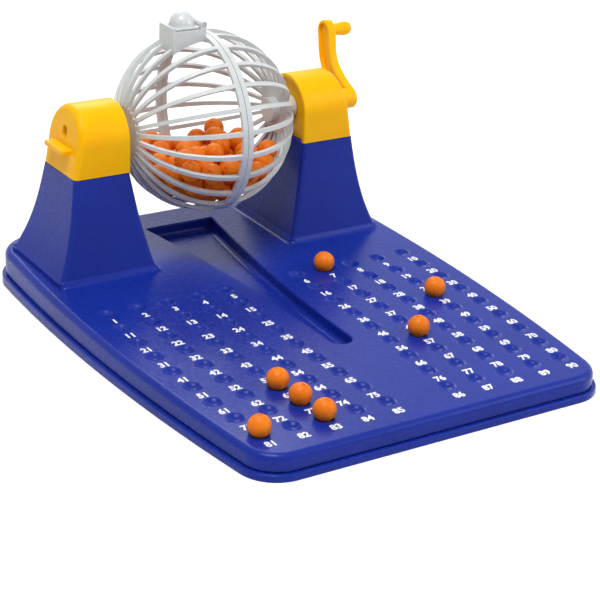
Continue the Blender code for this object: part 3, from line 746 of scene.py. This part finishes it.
def makeCap(name, node, side):
    bottom = towers["height"] + caps["gap"]
    innerX, outerX, wall = towers["innerX"], towers["outerX"], caps["wall"]
    near = []
    for i in range(5):
        angle = math.pi / 2 * i / 4
        near.append(
            archRing(
                side,
                innerX + caps["round"] * (1 - math.cos(angle)),
                caps["round"] * (1 - math.sin(angle)),
                bottom,
            )
        )
    far = []
    for i in range(8):
        angle = math.pi / 2 * i / 7
        far.append(
            archRing(
                side,
                outerX - caps["outerRound"] * (1 - math.sin(angle)),
                caps["outerRound"] * (1 - math.cos(angle)),
                bottom,
                True,
            )
        )
    far.sort(key=lambda ring: abs(ring[0].x))
    cap = drawUp(name, near + far)
    webX = innerX + caps["recess"]
    below = bottom - overlap
    combine(
        cap,
        drawUp(
            "hollow",
            [archRing(side, webX + wall, wall, below), archRing(side, outerX - wall, wall, below, True)],
        ),
        "DIFFERENCE",
    )
    combine(
        cap,
        drawUp(
            "recess", [archRing(side, innerX - overlap, wall, below), archRing(side, webX, wall, below)]
        ),
        "DIFFERENCE",
    )
    bossEnd = webX + wall + caps["bossLength"]
    combine(
        cap,
        turnUp(
            "boss",
            [(0, caps["bossRadius"]), (bossEnd - webX - wall / 2, caps["bossRadius"])],
            (side * (webX + wall / 2), axle.y, axle.z),
            (side, 0, 0),
        ),
        "UNION",
    )
    boreEnd = outerX + overshoot if side > 0 else bossEnd + overlap
    combine(
        cap,
        turnUp(
            "bore",
            [(0, caps["bore"]), (boreEnd - webX + overlap, caps["bore"])],
            (side * (webX - overlap), axle.y, axle.z),
            (side, 0, 0),
        ),
        "DIFFERENCE",
    )
    if side < 0:
        top = axle.z - shelf["belowAxle"]
        low = (-outerX - shelf["reach"], axle.y - shelf["length"] / 2, top - shelf["height"])
        ledge = block("ledge", low, (leanIn(top) - outerX + overlap, axle.y + shelf["length"] / 2, top))
        roundEdges(ledge, 0.8 * mm, 3)
        combine(cap, ledge, "UNION")
        middle = axle.z + slotHole["aboveAxle"]
        half = Vector((wall + 4.5 * mm, slotHole["width"] / 2, slotHole["height"] / 2))
        hole = block(
            "slot", Vector((-outerX, axle.y, middle)) - half, Vector((-outerX, axle.y, middle)) + half
        )
        roundEdges(hole, 2 * mm, 5)
        combine(cap, hole, "DIFFERENCE")
    clean(cap, 34)
    evenNormals(cap)
    cap.name = name
    paint(cap, "yellow ABS")
    place(cap, "base", "yellow_plastic", node)


makeCap("left_cap_shell", "cap_left", -1)
makeCap("right_cap_shell", "cap_right", 1)
print("caps made")


# The cage: two ribbed half globes that meet at a flat ring

cage = {
    "radius": 50 * mm,
    "wall": 2.2 * mm,
    "ribs": 24,
    "ribPole": 2.0 * mm,
    "ribRing": 2.4 * mm,
    "ring": 6.3 * mm,
    "hub": 14 * mm,
    "journal": 4 * mm,
    "driveBoss": 7 * mm,
    "driveSquare": 5.6 * mm,
    "socket": 7 * mm,
    "edge": 0.55 * mm,
}
outlet = {
    "length": 20 * mm,
    "breadth": 16 * mm,
    "hole": 12.6 * mm,
    "shift": 0.6 * mm,
    "top": 53.4 * mm,
    "tab": 1.4 * mm,
    "tabHeight": 2 * mm,
    "ear": 1.8 * mm,
    "lug": 1.9 * mm,
    "pinSetback": 1.3 * mm,
}


def halfGlobe(name, side):
    middle = cage["radius"] - cage["wall"] / 2
    ringX = cage["ring"] / 2
    hubAngle = math.asin(cage["hub"] / middle)
    ringAngle = math.acos(ringX / middle)
    rows = 26
    polar = [hubAngle + (ringAngle - hubAngle) * i / rows for i in range(rows + 1)]
    seam = 0.15 * mm
    rings = []
    for i, angle in enumerate(polar + [None]):
        reach = middle if angle is None else middle * math.sin(angle)
        x = seam if angle is None else middle * math.cos(angle)
        share = min(i / rows, 1)
        width = cage["ribPole"] + (cage["ribRing"] - cage["ribPole"]) * share
        ring = []
        for rib in range(cage["ribs"]):
            centre = 2 * math.pi * (rib + 0.5) / cage["ribs"]
            for turn in (
                centre - width / 2 / reach, centre + width / 2 / reach, centre + math.pi / cage["ribs"]
            ):
                ring.append(
                    Vector((side * x, axle.y + reach * math.sin(turn), axle.z + reach * math.cos(turn)))
                )
        rings.append(ring)
    globe = drawUp(name, rings, openTop=True)
    bpy.ops.object.mode_set(mode="EDIT")
    bpy.ops.mesh.select_all(action="DESELECT")
    mesh = bmesh.from_edit_mesh(globe.data)
    hubX, lastX = middle * math.cos(hubAngle), ringX
    for face in mesh.faces:
        spot = face.calc_center_median() - axle
        turn = math.atan2(spot.y, spot.z) / (2 * math.pi) * cage["ribs"]
        narrow = abs(
            turn - 0.5 - round(turn - 0.5)
        ) * 2 * math.pi / cage["ribs"] * Vector((spot.y, spot.z)).length
        face.select = lastX + 1e-5 < abs(spot.x) < hubX - 1e-5 and narrow > cage["ribRing"] * 0.55
    bmesh.update_edit_mesh(globe.data)
    bpy.ops.mesh.delete(type="FACE")
    bpy.ops.mesh.select_all(action="SELECT")
    bpy.ops.mesh.normals_make_consistent(inside=False)
    bpy.ops.object.mode_set(mode="OBJECT")
    modify(globe, "SOLIDIFY", thickness=cage["wall"], offset=0)
    roundEdges(globe, cage["edge"], 3, 50)
    return globe


def outletBlock():
    startX = -cage["ring"] / 2
    endX = startX - outlet["length"]
    halfY = outlet["breadth"] / 2
    top = axle.z + outlet["top"]
    body = block("outlet block", (endX, axle.y - halfY, axle.z + 36 * mm), (startX, axle.y + halfY, top))
    hair = 0.02 * mm  # keeps faces from lying in one plane
    tab = block(
        "tab",
        (endX + hair, axle.y - halfY + hair, top - overlap),
        (endX + outlet["tab"], axle.y + halfY - hair, top + outlet["tabHeight"]),
    )
    combine(body, tab, "UNION")
    for end in (-1, 1):
        ys = sorted((axle.y + end * (halfY - hair), axle.y + end * (halfY - outlet["ear"])))
        ear = block(
            "ear",
            (lidPin.x - outlet["lug"], ys[0], top - overlap),
            (lidPin.x + outlet["pinSetback"] - hair, ys[1], lidPin.z),
        )
        combine(body, ear, "UNION")
        profile = [(0, outlet["lug"] + hair), (ys[1] - ys[0] - 2 * hair, outlet["lug"] + hair)]
        combine(body, turnUp("eye", profile, (lidPin.x, ys[0] + hair, lidPin.z), (0, 1, 0), 28), "UNION")
    bpy.ops.object.select_all(action="DESELECT")
    bpy.ops.mesh.primitive_uv_sphere_add(
        segments=96, ring_count=48, radius=cage["radius"] - cage["wall"], location=axle
    )
    inner = bpy.context.active_object
    settle(inner)
    combine(body, inner, "DIFFERENCE")
    return body


def makeCage():
    left = halfGlobe("left_globe", -1)
    combine(left, outletBlock(), "UNION")
    middleX = -cage["ring"] / 2 - outlet["length"] / 2 - outlet["shift"]
    half = outlet["hole"] / 2
    hole = block(
        "outlet hole",
        (middleX - half, axle.y - half, axle.z + 33 * mm),
        (middleX + half, axle.y + half, axle.z + 60 * mm),
    )
    roundEdges(hole, 1 * mm, 3)
    combine(left, hole, "DIFFERENCE")
    pinHole = turnUp(
        "pin hole", [(-15 * mm, 1.1 * mm), (15 * mm, 1.1 * mm)], (lidPin.x, axle.y, lidPin.z), (0, 1, 0), 20
    )
    combine(left, pinHole, "DIFFERENCE")
    hubX = math.sqrt((cage["radius"] - cage["wall"] / 2) ** 2 - cage["hub"] ** 2)
    journalEnd = towers["innerX"] + caps["recess"] + caps["wall"] + caps["bossLength"]
    profile = [
        (0, cage["journal"]),
        (journalEnd - hubX - 0.6 * mm, cage["journal"]),
        (journalEnd - hubX, cage["journal"] - 0.6 * mm),
    ]
    combine(left, turnUp("journal", profile, (-hubX, axle.y, axle.z), (-1, 0, 0)), "UNION")
    right = halfGlobe("right_globe", 1)
    bossEnd = towers["innerX"] + caps["recess"] - caps["gap"]
    start = 48 * mm - cage["socket"]
    profile = [
        (0, cage["driveBoss"] - 0.5 * mm),
        (0.5 * mm, cage["driveBoss"]),
        (bossEnd - start - 0.5 * mm, cage["driveBoss"]),
        (bossEnd - start, cage["driveBoss"] - 0.5 * mm),
    ]
    combine(right, turnUp("drive boss", profile, (start, axle.y, axle.z), (1, 0, 0)), "UNION")
    half = cage["driveSquare"] / 2
    combine(
        right,
        block(
            "drive socket",
            (bossEnd - cage["socket"], axle.y - half, axle.z - half),
            (bossEnd + overshoot, axle.y + half, axle.z + half),
        ),
        "DIFFERENCE",
    )
    for piece, node in ((left, "cage_half_left"), (right, "cage_half_right")):
        clean(piece, 40)
        evenNormals(piece)
        paint(piece, "silver grey polypropylene")
        place(piece, "cage", "silver_plastic", node)
    left.name, right.name = "left_globe", "right_globe"


makeCage()
print("cage made")


# The lid of the outlet, and the pin it swings on

lid = {
    "plate": 1.2 * mm,
    "side": 1 * mm,
    "dome": 7 * mm,
    "domeRise": 1.8 * mm,
    "domeWall": 1.1 * mm,
    "gap": 0.3 * mm,
    "pin": 0.8 * mm,
}


def makeLid():
    top = axle.z + outlet["top"] + lid["gap"]
    farX = -cage["ring"] / 2 - outlet["length"] + outlet["tab"] + lid["gap"]
    nearX = lidPin.x - outlet["lug"] - lid["gap"]
    halfY = outlet["breadth"] / 2 - lid["side"]
    knuckle = outlet["breadth"] / 2 - outlet["ear"] - lid["gap"]
    plate = block(
        "outlet_lid_plate", (farX, axle.y - halfY, top), (nearX, axle.y + halfY, top + lid["plate"])
    )
    roundEdges(plate, 0.35 * mm, 2)
    neck = block(
        "neck",
        (nearX - overlap, axle.y - knuckle, top + 0.05 * mm),
        (lidPin.x, axle.y + knuckle, top + lid["plate"] - 0.05 * mm),
    )
    combine(plate, neck, "UNION")
    middle = Vector((-cage["ring"] / 2 - outlet["length"] / 2 - outlet["shift"], axle.y, top))
    dome, wall, rise = lid["dome"], lid["domeWall"], lid["domeRise"]
    profile = [(lid["plate"] / 2, dome + 0.5 * mm), (lid["plate"], dome + 0.45 * mm)]
    for i in range(13):
        angle = math.radians(89 * i / 12)
        profile.append((rise + dome * math.sin(angle), dome * math.cos(angle)))
    combine(plate, turnUp("dome", profile, middle, (0, 0, 1), 48), "UNION")
    profile = [(-1 * mm, dome - wall)]
    for i in range(14):
        angle = math.radians(88 * i / 13)
        profile.append((rise + (dome - wall) * math.sin(angle), (dome - wall) * math.cos(angle)))
    combine(plate, turnUp("dome inside", profile, middle, (0, 0, 1), 48), "DIFFERENCE")
    eye = turnUp("knuckle", [(-knuckle, outlet["lug"]), (knuckle, outlet["lug"])], lidPin, (0, 1, 0), 28)
    combine(plate, eye, "UNION")
    combine(
        plate,
        turnUp("hole", [(-15 * mm, 1.1 * mm), (15 * mm, 1.1 * mm)], lidPin, (0, 1, 0), 20),
        "DIFFERENCE",
    )
    clean(plate, 36)
    evenNormals(plate)
    plate.name = "outlet_cover"
    paint(plate, "milky polypropylene")
    place(plate, "lid", "pale_silver_plastic", "outlet_lid")
    reach = outlet["breadth"] / 2
    profile = [
        (-reach, lid["pin"] * 0.6),
        (-reach + 0.25 * mm, lid["pin"]),
        (reach - 0.25 * mm, lid["pin"]),
        (reach, lid["pin"] * 0.6),
    ]
    pin = turnUp("hinge_pin", profile, lidPin, (0, 1, 0), 20)
    clean(pin, 30)
    paint(pin, "silver grey polypropylene")
    place(pin, "cage", "silver_plastic", "lid_pin")


makeLid()
print("lid made")


# The crank: a swan neck arm with a turned knob, a shaft and a square that drives the cage

crank = {
    "hub": 6 * mm,
    "thick": 5.5 * mm,
    "width": 12.5 * mm,
    "rim": 1.8 * mm,
    "channel": 2 * mm,
    "back": 25.5 * mm,
    "up": 33.5 * mm,
    "knob": 4 * mm,
    "knobLength": 13.2 * mm,
    "standOff": 6.2 * mm,
    "collarGap": 0.7 * mm,
    "pull": (1.05, 0.36),
    "over": (0.9, 0.62),
    "edge": 1 * mm,
}


def swanNeck(steps=28):
    end = Vector((crank["back"], crank["up"]))
    pull = Vector((end.x * crank["pull"][0], end.y * crank["pull"][1]))
    over = Vector((end.x * crank["over"][0], end.y * crank["over"][1]))
    line = []
    for i in range(steps + 1):
        t = i / steps
        line.append(pull * (3 * t * (1 - t) ** 2) + over * (3 * t**2 * (1 - t)) + end * t**3)
    return line


def armOutline(halfWidth):
    line = swanNeck()
    left, right = [], []
    for i, point in enumerate(line):
        ahead = line[min(i + 1, len(line) - 1)] - line[max(i - 1, 0)]
        across = Vector((-ahead.y, ahead.x)).normalized() * halfWidth
        left.append(point + across)
        right.append(point - across)
    heading = (line[-1] - line[-2]).normalized()
    across = Vector((-heading.y, heading.x))
    for i in range(1, 12):
        angle = math.pi * i / 12
        left.append(line[-1] + (across * math.cos(angle) + heading * math.sin(angle)) * halfWidth)
    return left + right[::-1]


def armBetween(name, halfWidth, startX, endX):
    outline = armOutline(halfWidth)
    return drawUp(
        name, [[Vector((x, axle.y + p.x, axle.z + p.y)) for p in outline] for x in (startX, endX)]
    )


def makeCrank():
    innerX = towers["outerX"] + crank["standOff"]
    outerX = innerX + crank["thick"]
    arm = armBetween("crank_arm", crank["width"] / 2, innerX + 0.2 * mm, outerX - 0.2 * mm)
    roundEdges(arm, crank["edge"], 4, 60)
    hub = turnUp(
        "hub",
        [
            (0, crank["hub"] - 0.5 * mm),
            (0.5 * mm, crank["hub"]),
            (crank["thick"] - 1 * mm, crank["hub"]),
            (crank["thick"] - 0.3 * mm, crank["hub"] - 0.3 * mm),
            (crank["thick"], crank["hub"] - 1 * mm),
        ],
        (innerX, axle.y, axle.z),
        (1, 0, 0),
        56,
    )
    combine(arm, hub, "UNION")
    channel = armBetween(
        "channel", crank["width"] / 2 - crank["rim"], innerX - overlap, innerX + crank["channel"]
    )
    combine(arm, channel, "DIFFERENCE")
    start = towers["outerX"] - leanIn(axle.z - crank["hub"]) + crank["collarGap"]
    length = innerX + crank["channel"] + overlap - start
    profile = [
        (0, crank["hub"] - 0.4 * mm),
        (0.4 * mm, crank["hub"] - 0.02 * mm),
        (length, crank["hub"] - 0.02 * mm),
    ]
    combine(arm, turnUp("collar", profile, (start, axle.y, axle.z), (1, 0, 0), 56), "UNION")
    grip = Vector((outerX, axle.y + crank["back"], axle.z + crank["up"]))
    knob, reach = crank["knob"], crank["knobLength"]
    shape = (
        (-0.07, 1.0),
        (0.0, 0.98),
        (0.05, 0.9),
        (0.14, 0.84),
        (0.26, 0.86),
        (0.4, 0.92),
        (0.56, 0.98),
        (0.7, 1.0),
        (0.8, 0.97),
        (0.88, 0.88),
        (0.94, 0.74),
        (0.98, 0.52),
        (1.0, 0.25),
    )
    combine(
        arm,
        turnUp("knob", [(reach * along, knob * share) for along, share in shape], grip, (1, 0, 0), 40),
        "UNION",
    )
    bossEnd = towers["innerX"] + caps["recess"] - caps["gap"]
    start = bossEnd + 0.6 * mm
    combine(
        arm,
        turnUp(
            "shaft",
            [(0, cage["journal"]), (innerX - start, cage["journal"])],
            (start, axle.y, axle.z),
            (1, 0, 0),
        ),
        "UNION",
    )
    half = cage["driveSquare"] / 2 - 0.3 * mm
    combine(
        arm,
        block(
            "square",
            (bossEnd - cage["socket"] + 0.3 * mm, axle.y - half, axle.z - half),
            (start + overlap, axle.y + half, axle.z + half),
        ),
        "UNION",
    )
    clean(arm, 34)
    evenNormals(arm)
    arm.name = "crank_handle"
    paint(arm, "yellow ABS")
    place(arm, "cage", "yellow_plastic", "crank")


makeCrank()
print("crank made")


# The balls: seven on the board, the rest heaped in the cage

balls = {"radius": 5.7 * mm, "count": 90, "dimple": 1.05 * mm, "dimpleDepth": 0.5 * mm, "seam": 0.05 * mm}


def oneBall():
    # turned from its own profile, with a small dimple at the top where it left the mould
    radius, dimple = balls["radius"], balls["dimple"]
    profile = []
    for i in range(19):
        angle = -math.pi / 2 + math.radians(4) + (
            math.pi - math.radians(4) - math.asin(dimple * 1.25 / radius)
        ) * i / 18
        profile.append((radius * math.sin(angle), radius * math.cos(angle)))
    rimAlong = profile[-1][0]
    profile.append((rimAlong + 0.05 * mm, dimple * 1.12))
    profile.append((rimAlong - 0.05 * mm, dimple))
    profile.append((rimAlong - balls["dimpleDepth"], dimple * 0.8))
    profile.append((rimAlong - balls["dimpleDepth"] * 1.15, dimple * 0.4))
    ball = turnUp("ball", profile, (0, 0, 0), (0, 0, 1), 30)
    clean(ball, 50)
    paint(ball, "orange ball plastic")
    return ball


def heapSpots(settled, count):
    # more balls dropped among those already settled, and pushed apart until none touch
    radius = balls["radius"]
    reach = cage["radius"] - cage["wall"] - radius - 0.5 * mm
    spacing = 2 * radius + 0.1 * mm
    fixed = np.array(settled)
    loose = random.uniform(-0.5, 0.5, (count, 3)) * reach * (1.7, 1.3, 0.4)
    loose[:, 2] += 6 * mm
    for step in range(1700):
        if step < 1300:
            loose[:, 2] -= 0.3 * mm * (1 - step / 1300)
        for _ in range(3):
            apart = loose[:, None, :] - loose[None, :, :]
            distance = np.linalg.norm(apart, axis=2)
            np.fill_diagonal(distance, 1.0)
            push = np.clip(spacing - distance, 0, None)[:, :, None] * apart / distance[:, :, None]
            loose += 0.5 * push.sum(axis=1)
            apart = loose[:, None, :] - fixed[None, :, :]
            distance = np.linalg.norm(apart, axis=2)
            push = np.clip(spacing - distance, 0, None)[:, :, None] * apart / distance[:, :, None]
            loose += push.sum(axis=1)
            length = np.linalg.norm(loose, axis=1, keepdims=True)
            loose *= np.minimum(1, reach / np.maximum(length, 1e-6))
    return loose


def makeBalls():
    model = oneBall()
    heap = []
    for node in frame["nodes"]:
        if "ball_" not in node:
            continue
        low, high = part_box(node)
        heap.append((node, (low + high) / 2))
    inCage = [(node, spot) for node, spot in heap if node.startswith("cage_ball")]
    onBoard = [(node, spot) for node, spot in heap if node.startswith("ball_")]
    spots = heapSpots([spot - axle for _, spot in inCage], balls["count"] - len(inCage) - len(onBoard))
    jobs = [(f"drawn_{node}", spot, f"loose_{node}", [node]) for node, spot in onBoard]
    jobs += [(f"heap_{node}", spot, "ball_heap", [node]) for node, spot in inCage]
    jobs += [
        (f"heap_more_{i + 1:02d}", axle + Vector(spot), "ball_heap", []) for i, spot in enumerate(spots)
    ]
    for name, spot, body, nodes in jobs:
        ball = model.copy()
        ball.data = model.data.copy()
        ball.name = name
        bpy.context.scene.collection.objects.link(ball)
        lean = random.uniform(-0.35, 0.35, 2) if body != "ball_heap" else random.uniform(-3, 3, 2)
        turn = Matrix.Rotation(lean[0], 4, "X") @ Matrix.Rotation(lean[1], 4, "Y")
        ball.data.transform(Matrix.Translation(spot) @ turn)
        place(ball, body, "orange_plastic", *nodes)
    bpy.data.objects.remove(model)


makeBalls()
print("balls placed")


# Camera, lights and floor

shot = {
    "target": (0.00637, -0.00271, 0.01629),
    "distance": 0.9541,
    "azimuth": -32.907,
    "elevation": 23.303,
    "roll": 2.194,
    "lens": 108.54,
}
studio = {"world": 0.3, "backdrop": 1.0, "floorLift": 0.3, "key": 11, "fill": 4.5, "rim": 4}


def makeCamera():
    a, e, r = (math.radians(shot[key]) for key in ("azimuth", "elevation", "roll"))
    back = Vector((math.sin(a) * math.cos(e), -math.cos(a) * math.cos(e), math.sin(e)))
    across = Vector((0, 0, 1)).cross(back).normalized()
    up = back.cross(across)
    right = across * math.cos(r) + up * math.sin(r)
    above = up * math.cos(r) - across * math.sin(r)
    turn = Matrix((right, above, back)).transposed().to_4x4()
    data = bpy.data.cameras.new("camera")
    data.lens = shot["lens"]
    data.sensor_width = 36
    data.clip_start = 0.01
    camera = bpy.data.objects.new("camera", data)
    camera.matrix_world = Matrix.Translation(Vector(shot["target"]) + back * shot["distance"]) @ turn
    bpy.context.scene.collection.objects.link(camera)
    bpy.context.scene.camera = camera


def addLamp(name, spot, size, power):
    data = bpy.data.lights.new(name, "AREA")
    data.shape = "DISK"
    data.size = size
    data.energy = power
    lamp = bpy.data.objects.new(name, data)
    lamp.location = spot
    lamp.rotation_mode = "QUATERNION"
    lamp.rotation_quaternion = (Vector(spot) - Vector((0, 0, 0.05))).to_track_quat("Z", "Y")
    bpy.context.scene.collection.objects.link(lamp)


def inSight(tree):
    # 1 for rays from the camera and for those it sends on through gloss or a clear piece, otherwise 0
    seen = addNode(tree, "ShaderNodeLightPath")
    straight = addNode(
        tree,
        "ShaderNodeMath",
        {"operation": "MAXIMUM"},
        {0: seen.outputs["Is Camera Ray"], 1: seen.outputs["Is Glossy Ray"]},
    )
    return addNode(
        tree,
        "ShaderNodeMath",
        {"operation": "MAXIMUM"},
        {0: straight.outputs[0], 1: seen.outputs["Is Transmission Ray"]},
    ).outputs[0]


def makeStage():
    world = bpy.data.worlds.new("studio")
    bpy.context.scene.world = world
    world.use_nodes = True
    tree = world.node_tree
    tree.nodes.clear()
    level = addNode(
        tree,
        "ShaderNodeMapRange",
        {"To Min": studio["world"], "To Max": studio["backdrop"]},
        {"Value": inSight(tree)},
    )
    sky = addNode(
        tree, "ShaderNodeBackground", {"Color": (1, 1, 1, 1)}, {"Strength": level.outputs["Result"]}
    )
    addNode(tree, "ShaderNodeOutputWorld", {}, {"Surface": sky.outputs["Background"]})
    bpy.ops.object.select_all(action="DESELECT")
    bpy.ops.mesh.primitive_plane_add(size=6, location=(0, 0, 0))
    floor = bpy.context.active_object
    floor.name = "floor"
    material = bpy.data.materials.new("white floor")
    material.use_nodes = True
    shader = material.node_tree.nodes["Principled BSDF"]
    shader.inputs["Base Color"].default_value = (0.93, 0.93, 0.93, 1)
    shader.inputs["Roughness"].default_value = 0.9
    shader.inputs["Specular IOR Level"].default_value = 0.0
    shader.inputs["Emission Color"].default_value = (1, 1, 1, 1)
    lift = addNode(
        material.node_tree,
        "ShaderNodeMath",
        {"operation": "MULTIPLY", 1: studio["floorLift"]},
        {0: inSight(material.node_tree)},
    )
    material.node_tree.links.new(lift.outputs[0], shader.inputs["Emission Strength"])
    floor.data.materials.append(material)
    addLamp("key", (-0.3, -0.25, 1.2), 0.6, studio["key"])
    addLamp("fill", (0.9, -0.7, 0.6), 0.8, studio["fill"])
    addLamp("rim", (0.3, 0.9, 0.8), 0.6, studio["rim"])
    bpy.context.scene.view_settings.view_transform = "Standard"


makeCamera()
makeStage()
print("stage set")
